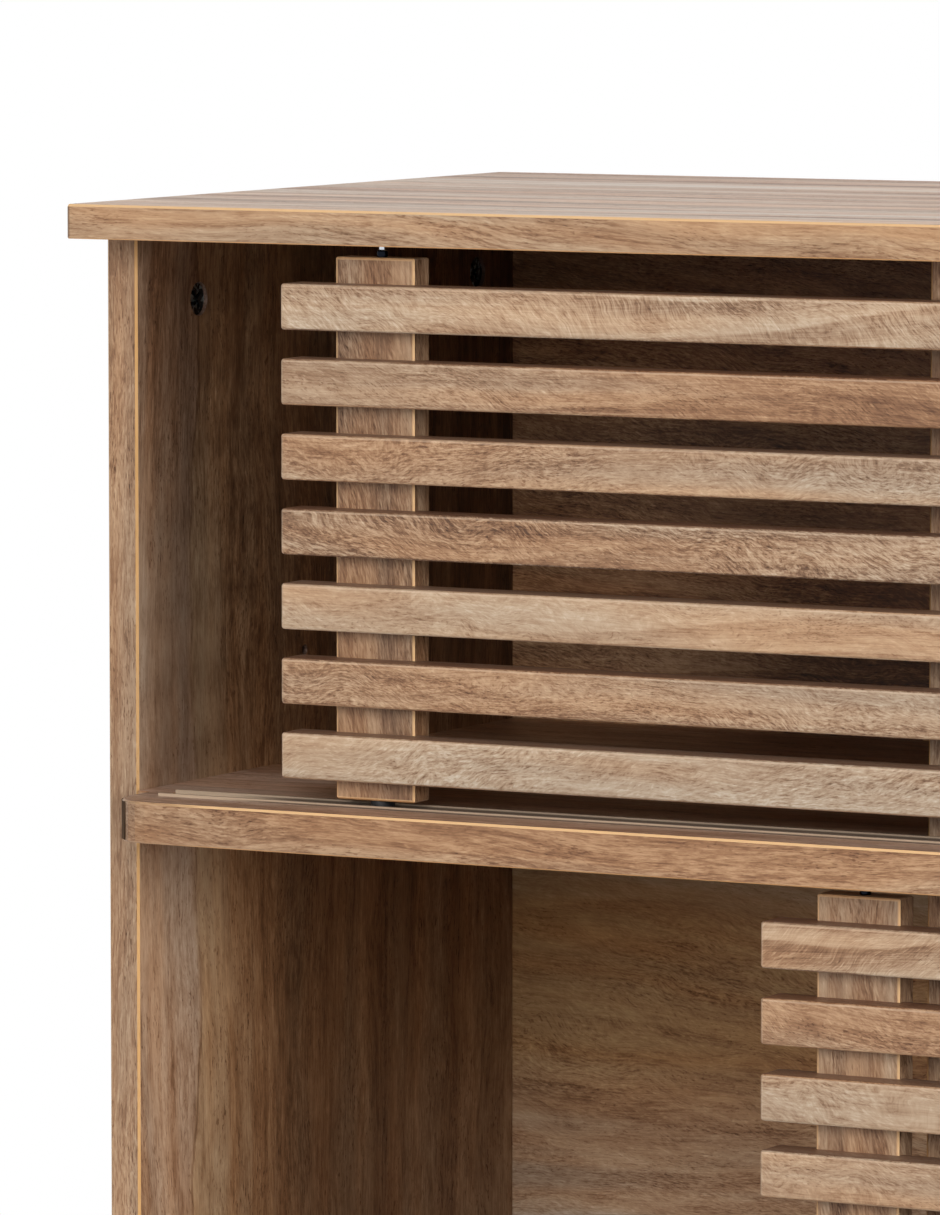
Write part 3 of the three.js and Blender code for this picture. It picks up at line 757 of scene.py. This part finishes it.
def heartwood(nodes, place, facing):
    """A side board's inner face has pale sapwood in front, dark heartwood behind and a thin dark ring between
    them. The dark heartwood behind is partly grain and partly painted shade, and its tones that change with
    the height are painted light and shade. Its front edge is darker towards the top, a painted shadow of the
    top's overhang."""
    upright = nodes.join(place[Z], place[Y], place[X])
    sway = nodes.noise(nodes.stretch(upright, *HEARTWOOD_MARKS), detail=1.0)
    depth = nodes.total(place[Y], nodes.times(sway, HEARTWOOD_SWAY))
    # Tones by height: painted light and shade.
    sapwood_shading = nodes.profile(place[Z], SAPWOOD_PAINTED_SHADING)
    heartwood_shading = nodes.profile(place[Z], HEARTWOOD_PAINTED_SHADING)
    base = nodes.pick(nodes.spread(depth, *HEARTWOOD_START), sapwood_shading, heartwood_shading)
    pale_band = nodes.window(depth, PALE_BAND)
    off = nodes.size(nodes.total(ring_depth(nodes, place), -RING_DEPTH))
    ring = nodes.times(nodes.spread(off, 0.0, RING_WIDTH, 1.0, 0.0), RING_TONE)
    inner = nodes.times(nodes.total(base, pale_band, ring), inner_face(nodes, place, facing))
    # Painted shadow of the top's overhang on the front edge.
    edge = nodes.times(nodes.spread(place[Z], *SIDE_EDGE_PAINTED_SHADOW), front_face(nodes, facing))
    return nodes.total(inner, edge)


def side_colour(nodes, colour, place, facing):
    """A side board's inner face has greyer sapwood in front and olive heartwood behind."""
    behind = nodes.spread(ring_depth(nodes, place), *HEARTWOOD_TURN)
    hue = nodes.blend(behind, SAPWOOD_HUE, HEARTWOOD_HUE)
    colour = nodes.blend(inner_face(nodes, place, facing), colour, nodes.tinted(colour, hue))
    return bore_walls(nodes, colour, place, facing)


def bore_walls(nodes, colour, place, facing):
    """The walls of the bores in an upright board show grey-brown core."""
    low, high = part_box("left_side_panel")
    sideways = nodes.math("LESS_THAN", nodes.size(facing[X]), BORE_FACING)
    behind_edge = nodes.math("GREATER_THAN", place[Y], low.y + BORE_MARGIN)
    before_rear = nodes.math("LESS_THAN", place[Y], high.y - BORE_MARGIN)
    speckle = nodes.noise(nodes.stretch(nodes.join(*place), *CORE_SPECKS), detail=2.0)
    core = nodes.ramp(nodes.total(speckle, 0.5), BORE_CORE)
    return nodes.blend(nodes.times(sideways, behind_edge, before_rear), colour, core)


def back_shade(nodes, place, facing):
    """The back panel's front face is darker in the upper tier, painted shade behind the upper door. Just
    above the shelf its tone swings from pale at the left to dark: a painted patch of light fading into
    painted shade."""
    upper = nodes.spread(place[Z], *UPPER_TIER)
    low = nodes.times(upper, nodes.spread(place[Z], *BACK_PAINTED_LIGHT_HEIGHT))
    tone = nodes.total(
        nodes.spread(place[Z], *BACK_PALE_TONE),
        nodes.times(upper, UPPER_TIER_PAINTED_SHADE),
        nodes.times(low, nodes.spread(place[X], *BACK_PAINTED_LIGHT_TO_SHADE)),
    )
    return nodes.times(tone, front_face(nodes, facing))


def back_hue(nodes, colour, place, facing):
    """The back panel's front face is greyish at its foot, golden brown higher in the lower tier, plain
    below the shelf and red-brown in the upper tier."""
    lying = nodes.join(place[X], place[Z], place[Y])
    sway = nodes.noise(nodes.stretch(lying, *BACK_HUE_MARKS), detail=2.0)
    height = nodes.total(place[Z], nodes.times(sway, BACK_HUE_SWAY))
    hue = nodes.ramp(nodes.spread(height, *BACK_HUE_HEIGHT, smooth=False), BACK_HUES)
    return nodes.blend(front_face(nodes, facing), colour, nodes.tinted(colour, hue))


def top_hue(nodes, colour, place, facing):
    """The top's upper face is pinker than its edges and grows paler to the right, a painted sheen. Its edges
    grow darker and more orange. A dark line runs up its front corners."""
    above = nodes.spread(facing[Z], *SQUARE)
    edge_hue = nodes.blend(nodes.spread(place[X], *TOP_EDGE_TURN), *TOP_EDGE_HUES)
    # Painted sheen on the upper face.
    face_sheen = nodes.blend(nodes.spread(place[X], *TOP_SHEEN_TURN), *TOP_SHEEN_HUES)
    colour = nodes.tinted(colour, nodes.blend(above, edge_hue, face_sheen))
    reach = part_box("top_panel")[1].x
    corner = nodes.spread(nodes.size(place[X]), *[reach - width for width in TOP_CORNER_WIDTH])
    end = nodes.spread(nodes.size(facing[X]), *SQUARE)
    upright = nodes.math("SUBTRACT", 1.0, nodes.math("MAXIMUM", above, end))
    return nodes.blend(nodes.times(corner, upright, TOP_CORNER_SHARE), colour, TOP_CORNER)


def shelf_top(nodes, colour, place, facing):
    """The shelf's upper face is greyer than its edge, and darker and browner behind the door with painted
    shade.
    """
    above = nodes.spread(facing[Z], *SQUARE)
    off_end = nodes.spread(nodes.size(place[X]), *SHELF_END)
    deep = nodes.math("MAXIMUM", off_end, nodes.spread(place[Y], *SHELF_SHADE_START_AT_END))
    # Painted shade behind the door.
    behind = nodes.times(nodes.spread(place[Y], *SHELF_SHADE_START), deep)
    hue = nodes.blend(behind, SHELF_FACE_HUE, SHELF_PAINTED_SHADE_HUE)
    return nodes.tinted(colour, nodes.blend(above, WHITE, hue))


def stile_side(nodes, place, facing):
    """A stile's narrow sides are a darker cut, darkest along the glue line behind the front arris."""
    side = nodes.math("GREATER_THAN", nodes.size(facing[X]), FLAT)
    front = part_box("upper_door_left_stile")[0].y
    start, end = GLUE_LINE
    glue = nodes.spread(place[Y], front + start, front + end, GLUE_TONE, 0.0)
    return nodes.times(side, nodes.total(glue, STILE_SIDE_TONE))


def stile_border(node):
    """Paints a stile's front face pale golden along its very edges."""
    low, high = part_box(node)
    middle, reach = (low + high) / 2, (high - low) / 2

    def near_end(nodes, place, axis):
        off = nodes.size(nodes.math("SUBTRACT", place[axis], middle[axis]))
        return nodes.spread(off, *[reach[axis] - width for width in STILE_BORDER_WIDTH])

    def paint(nodes, colour, place, facing):
        near = nodes.math("MAXIMUM", near_end(nodes, place, X), near_end(nodes, place, Z))
        share = nodes.times(near, front_face(nodes, facing), STILE_BORDER_SHARE)
        return nodes.blend(share, colour, STILE_BORDER)
    return paint


def slat_edges(nodes, colour, place, facing):
    """A slat has a painted highlight along its upper arris and is rubbed pale along its end arrises, and it
    has painted shade on its top and bottom.
    """
    upper = nodes.times(nodes.window(facing[Z], UPPER_HIGHLIGHT_ARRIS), UPPER_HIGHLIGHT_SHARE)
    upright = nodes.times(nodes.window(nodes.size(facing[X]), UPRIGHT_ARRIS), UPRIGHT_RUB)
    colour = nodes.blend(nodes.math("MAXIMUM", upper, upright), colour, SLAT_HIGHLIGHT_AND_RUB)
    lying = nodes.spread(nodes.size(facing[Z]), *SLAT_LYING)
    return nodes.blend(nodes.times(lying, SHADED_SHARE), colour, SHADED_SLAT)


def dress_doors():
    """The slats and stiles of both doors."""
    for door, slats in (("upper_door", UPPER_SLATS), ("lower_door", LOWER_SLATS)):
        for number, (tone, warm, change, rings, slant, strokes, seed) in enumerate(slats, 1):
            node = "%s_slat_%d" % (door, number)
            low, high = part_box(node)
            dress(node, wood(
                node + "_wood", (X, Z, Y), seed, tone=tone, warm=warm, bands=0.45, rings=rings, slant=slant,
                strokes=strokes, pores=0.6, curl=1.0, veins=0.6, arris=0.0, banded=0.0, extra=slat_edges,
                drift=(change, low.x, high.x)))
            smooth_rounds(NODES[node])
        for number, side in enumerate(("left", "right")):
            node = "%s_%s_stile" % (door, side)
            seed = slats[0][-1] + 10.4 + 3.3 * number
            dress(node, wood(
                node + "_wood", (Z, X, Y), seed, tone=-0.02, warm=0.55, bands=1.0, slant=0.5, strokes=0.9,
                pores=0.7, arris=0.8, golden=PALE_GOLDEN, shade=stile_side, extra=stile_border(node)))


def dress_legs():
    """The legs and their rubber pads."""
    rubber = moulded("foot_rubber", RUBBER, roughness=0.7)
    for number, corner in enumerate(("front_left", "front_right", "rear_left", "rear_right")):
        leg, pad = corner + "_leg", corner + "_foot_pad"
        dress(leg, wood(
            leg + "_wood", (Z, X, Y), seed=71.0 + 2.7 * number, tone=-0.02, warm=0.6, arris=0.0,
            banded=0.0, gloss=0.36))
        dress(pad, rubber)
        smooth_rounds(NODES[leg])
        smooth_rounds(NODES[pad])


def dress_fittings():
    """Tracks, guides, glides, pins, cam locks and bolts."""
    beige = moulded("track_beige", GUIDE_COLOUR, roughness=0.42)
    black = moulded("glide_black", BLACK_PLASTIC, roughness=0.5)
    zinc = metal("lock_zinc", LOCK_ZINC, roughness=0.40, mottle=0.9, scratch=0.1, tarnish=0.9)
    chrome = {}
    # The same chrome for each tier, darkened for the lower door with painted shade.
    for tier, colour in PIN_PLATING_LIT_AND_SHADED.items():
        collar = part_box(tier + "_door_left_stile")[1].z + COLLAR_HEIGHT
        chrome[tier] = metal(tier + "_pin_chrome", colour, roughness=0.12, mottle=0.05, collar=collar)
    for node in NODES:
        if node.endswith("_track"):
            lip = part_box(node)[1].z
            inside = lip - GROOVE_SHADE_BELOW_LIP
            dress(node, moulded(node + "_beige", TRACK_COLOUR, roughness=0.42, inside=inside))
        elif node.endswith("_guide"):
            dress(node, beige)
        elif node.endswith("_glide"):
            dress(node, black)
            smooth_rounds(NODES[node])
        elif node.endswith("_pin"):
            dress(node, chrome[node.split("_")[0]])
            smooth_rounds(NODES[node])
        elif node.endswith(("_cam", "_bolt")):
            dress(node, zinc)
            smooth_rounds(NODES[node])


def fluted_core():
    """Bare particle core, dark and matt, cut in upright flutes."""
    material, nodes, shader = new_material("nose_core", 0.9, IOR=1.25, Specular_IOR_Level=0.1)
    place = nodes.split(nodes.add("ShaderNodeTexCoord").outputs["Object"])
    upright = nodes.join(place[Z], place[X], place[Y])
    speckle = nodes.noise(nodes.stretch(upright, *CORE_FLUTES), detail=3.0)
    nodes.feed(shader.inputs["Base Color"], nodes.ramp(nodes.total(speckle, 0.5), FLUTED_CORE))
    bump(nodes, shader, speckle, CORE_RELIEF)
    return material


def nose_strip_outline(hand):
    """The (x, y) of each flute: round the shelf's corner from the band's end, then straight to the side
    panel. hand is -1 at the left and 1 at the right."""
    low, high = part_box("middle_shelf")
    centre = Vector((high.x - NOSE_END_GAP - NOSE_CORNER, low.y + NOSE_CORNER))
    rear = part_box("left_side_panel")[0].y
    straight = rear - centre.y - STRIP_MARGIN
    arc = (math.pi / 2 - BAND_END) * NOSE_CORNER
    least, more = STRIP_LIFT
    short, long = STRIP_WAVES
    outline = []
    for flute in range(STRIP_FLUTES + 1):
        way = flute / STRIP_FLUTES * (arc + straight)
        angle = BAND_END + min(way, arc) / NOSE_CORNER
        lift = STRIP_PROUD * (least + more * math.cos(flute * short) * math.sin(flute * long + hand))
        reach = NOSE_CORNER + (lift if 0 < flute < STRIP_FLUTES else 0.0)
        x = centre.x + reach * math.sin(angle)
        y = centre.y - reach * math.cos(angle) + max(way - arc, 0.0)
        outline.append((hand * min(x, centre.x + reach), y))
    return outline


def nose_strip_mesh(hand):
    """A strip's upright flutes, one column of faces for each."""
    low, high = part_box("middle_shelf")
    height = high.z - low.z - 2 * STRIP_MARGIN
    levels = [low.z + STRIP_MARGIN + row / STRIP_ROWS * height for row in range(STRIP_ROWS + 1)]
    mesh = bpy.data.meshes.new("nose_strip")
    build = bmesh.new()
    columns = [[build.verts.new((x, y, z)) for z in levels] for x, y in nose_strip_outline(hand)]
    for before, after in zip(columns, columns[1:]):
        for row in range(STRIP_ROWS):
            corners = (before[row], after[row], after[row + 1], before[row + 1])
            build.faces.new(corners if hand > 0 else corners[::-1])
    for face in build.faces:
        face.smooth = True
    build.to_mesh(mesh)
    build.free()
    return mesh


def add_nose_strips():
    """The shelf's edge band stops on its rounded corners. Beyond it, each end shows a strip of dark core."""
    core = fluted_core()
    for name, hand in (("left", -1.0), ("right", 1.0)):
        mesh = nose_strip_mesh(hand)
        mesh.materials.append(core)
        strip = bpy.data.objects.new("shelf_%s_nose_strip" % name, mesh)
        bpy.context.scene.collection.objects.link(strip)
        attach(strip, "carcass")


def screw_mesh():
    """A low pan-head screw with a cross recess, facing +Y, with its seat at the origin."""
    mesh = bpy.data.meshes.new("screw_head")
    build = bmesh.new()
    loops = []
    for reach, lift in SCREW_PROFILE:
        loop = []
        for side in range(SCREW_SIDES):
            angle = side / SCREW_SIDES * math.tau
            across, up = SCREW_RADIUS * reach * math.cos(angle), SCREW_RADIUS * reach * math.sin(angle)
            loop.append(build.verts.new((across, SCREW_HEIGHT * lift, up)))
        loops.append(loop)
    for outer, inner in zip(loops, loops[1:]):
        for side in range(SCREW_SIDES):
            after = (side + 1) % SCREW_SIDES
            build.faces.new((outer[side], inner[side], inner[after], outer[after]))
    add_cross(build, loops[-1])
    for face in build.faces:
        face.smooth = True
    bmesh.ops.recalc_face_normals(build, faces=build.faces)
    build.to_mesh(mesh)
    build.free()
    return mesh


def add_cross(build, rim):
    """Closes a screw's head inside its rim with a sunk cross."""
    arm, waist = CROSS_ARM, CROSS_WAIST
    corners = []
    for quarter in range(4):
        turn = quarter * math.tau / 4
        for along, across in ((waist, -waist), (arm, -waist), (arm, waist)):
            corners.append((along * math.cos(turn) - across * math.sin(turn),
                            along * math.sin(turn) + across * math.cos(turn)))
    upper = [build.verts.new((x, SCREW_HEIGHT, z)) for x, z in corners]
    lower = [build.verts.new((x, CROSS_FLOOR, z)) for x, z in corners]
    count = len(corners)
    for index in range(count):
        after = (index + 1) % count
        build.faces.new((upper[index], upper[after], lower[after], lower[index]))
    build.faces.new(lower)
    edges = [build.edges.get((rim[side], rim[(side + 1) % len(rim)])) for side in range(len(rim))]
    edges += [build.edges.get((upper[index], upper[(index + 1) % count])) for index in range(count)]
    bmesh.ops.triangle_fill(build, edges=edges, use_beauty=True)


def add_screws():
    """One screw on the back of each stile for each slat."""
    mesh = screw_mesh()
    mesh.materials.append(metal("screw_zinc", SCREW_ZINC, roughness=0.3, mottle=0.25, scratch=0.1))
    for door in ("upper_door", "lower_door"):
        for side in ("left", "right"):
            low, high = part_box("%s_%s_stile" % (door, side))
            for number in range(1, len(UPPER_SLATS) + 1):
                slat_low, slat_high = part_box("%s_slat_%d" % (door, number))
                screw = bpy.data.objects.new("%s_%s_screw_%d" % (door, side, number), mesh)
                bpy.context.scene.collection.objects.link(screw)
                screw.location = ((low.x + high.x) / 2, high.y, (slat_low.z + slat_high.z) / 2)
                screw.rotation_euler = (0.0, SCREW_TURN * number, 0.0)
                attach(screw, door)


def new_lamp(name, place, target, size, watts, mirrored=True):
    """A soft box at place that faces target. No camera sees it, and gloss shows it only where mirrored."""
    data = bpy.data.lights.new(name, "AREA")
    data.shape = "RECTANGLE"
    data.size, data.size_y = size
    data.energy = watts
    lamp = bpy.data.objects.new(name, data)
    bpy.context.scene.collection.objects.link(lamp)
    lamp.location = place
    lamp.rotation_euler = (Vector(target) - Vector(place)).to_track_quat("-Z", "Y").to_euler()
    lamp.visible_camera = False
    lamp.visible_glossy = mirrored


def light_scene():
    """A soft key in front, a large soft box at the right, and weaker ones above and behind."""
    new_lamp("key", place=(0.1, -4.4, 1.95), target=(-0.1, 0.0, 0.4), size=(2.8, 1.6), watts=100.0)
    new_lamp("right", place=(7.6, -2.8, 1.7), target=(-0.3, 0.0, 0.4), size=(3.0, 2.6), watts=480.0,
             mirrored=False)
    new_lamp("high", place=(0.0, -2.6, 3.4), target=(0.0, 0.0, 0.4), size=(2.6, 1.4), watts=20.0)
    new_lamp("back", place=(0.8, 2.8, 1.8), target=(0.0, 0.0, 0.4), size=(2.0, 1.4), watts=45.0,
             mirrored=False)


def seen_directly(nodes):
    """1 for what a camera, a mirror or a glass shows, 0 for what lights the object."""
    path = nodes.add("ShaderNodeLightPath").outputs
    shown = nodes.math("MAXIMUM", path["Is Camera Ray"], path["Is Glossy Ray"])
    return nodes.math("MAXIMUM", shown, path["Is Transmission Ray"])


def make_world():
    """A white background that lights the object only weakly."""
    world = bpy.data.worlds.new("studio")
    bpy.context.scene.world = world
    world.use_nodes = True
    nodes = Nodes(world.node_tree)
    background = world.node_tree.nodes["Background"]
    nodes.feed(background.inputs["Color"], WHITE)
    nodes.feed(background.inputs["Strength"], nodes.pick(seen_directly(nodes), WORLD_STRENGTH, 1.0))


def floor_material():
    """Pale paint near the object. It turns to plain white away from it."""
    material = bpy.data.materials.new("pale_floor")
    material.use_nodes = True
    tree = material.node_tree
    tree.nodes.clear()
    nodes = Nodes(tree)
    place = nodes.split(nodes.add("ShaderNodeTexCoord").outputs["Object"])
    squares = [nodes.math("POWER", place[axis], 2.0) for axis in (X, Y)]
    away = nodes.spread(nodes.math("SQRT", nodes.total(*squares)), *FLOOR_FADE)
    paint = nodes.add("ShaderNodeBsdfDiffuse", {"Color": FLOOR_PAINT}).outputs[0]
    glow = nodes.add("ShaderNodeEmission", {"Color": WHITE, "Strength": FLOOR_GLOW}).outputs[0]
    near = nodes.add("ShaderNodeAddShader", {0: paint, 1: glow}).outputs[0]
    white = nodes.add("ShaderNodeEmission", {"Color": WHITE, "Strength": 1.0}).outputs[0]
    seen = nodes.add("ShaderNodeMixShader", {0: away, 1: near, 2: white}).outputs[0]
    both = nodes.add("ShaderNodeMixShader", {0: seen_directly(nodes), 1: paint, 2: seen}).outputs[0]
    nodes.feed(nodes.add("ShaderNodeOutputMaterial").inputs[0], both)
    return material


def make_floor():
    """A pale round floor, so large that its rim is never seen."""
    mesh = bpy.data.meshes.new("floor")
    cut = bmesh.new()
    bmesh.ops.create_circle(cut, cap_ends=True, segments=96, radius=FLOOR_RADIUS)
    cut.to_mesh(mesh)
    cut.free()
    mesh.materials.append(floor_material())
    floor = bpy.data.objects.new("floor", mesh)
    bpy.context.scene.collection.objects.link(floor)


def make_camera():
    """The photograph's view: from the front right, a little above, on a long lens."""
    azimuth, elevation = math.radians(28.4108), math.radians(5.2435)
    data = bpy.data.cameras.new("camera")
    data.sensor_width = 36.0
    data.lens = 249.5
    data.clip_start, data.clip_end = 0.05, 100.0
    camera = bpy.data.objects.new("camera", data)
    bpy.context.scene.collection.objects.link(camera)
    camera.location = (1.2872, -3.3176, 0.8590)
    flat = math.cos(elevation)
    ahead = Vector((-math.sin(azimuth) * flat, math.cos(azimuth) * flat, -math.sin(elevation)))
    camera.rotation_euler = ahead.to_track_quat("-Z", "Y").to_euler()
    bpy.context.scene.camera = camera


def main():
    dress_boards()
    dress_doors()
    dress_legs()
    dress_fittings()
    add_screws()
    add_nose_strips()
    light_scene()
    make_world()
    make_floor()
    make_camera()
    bpy.context.scene.view_settings.view_transform = "Standard"


main()
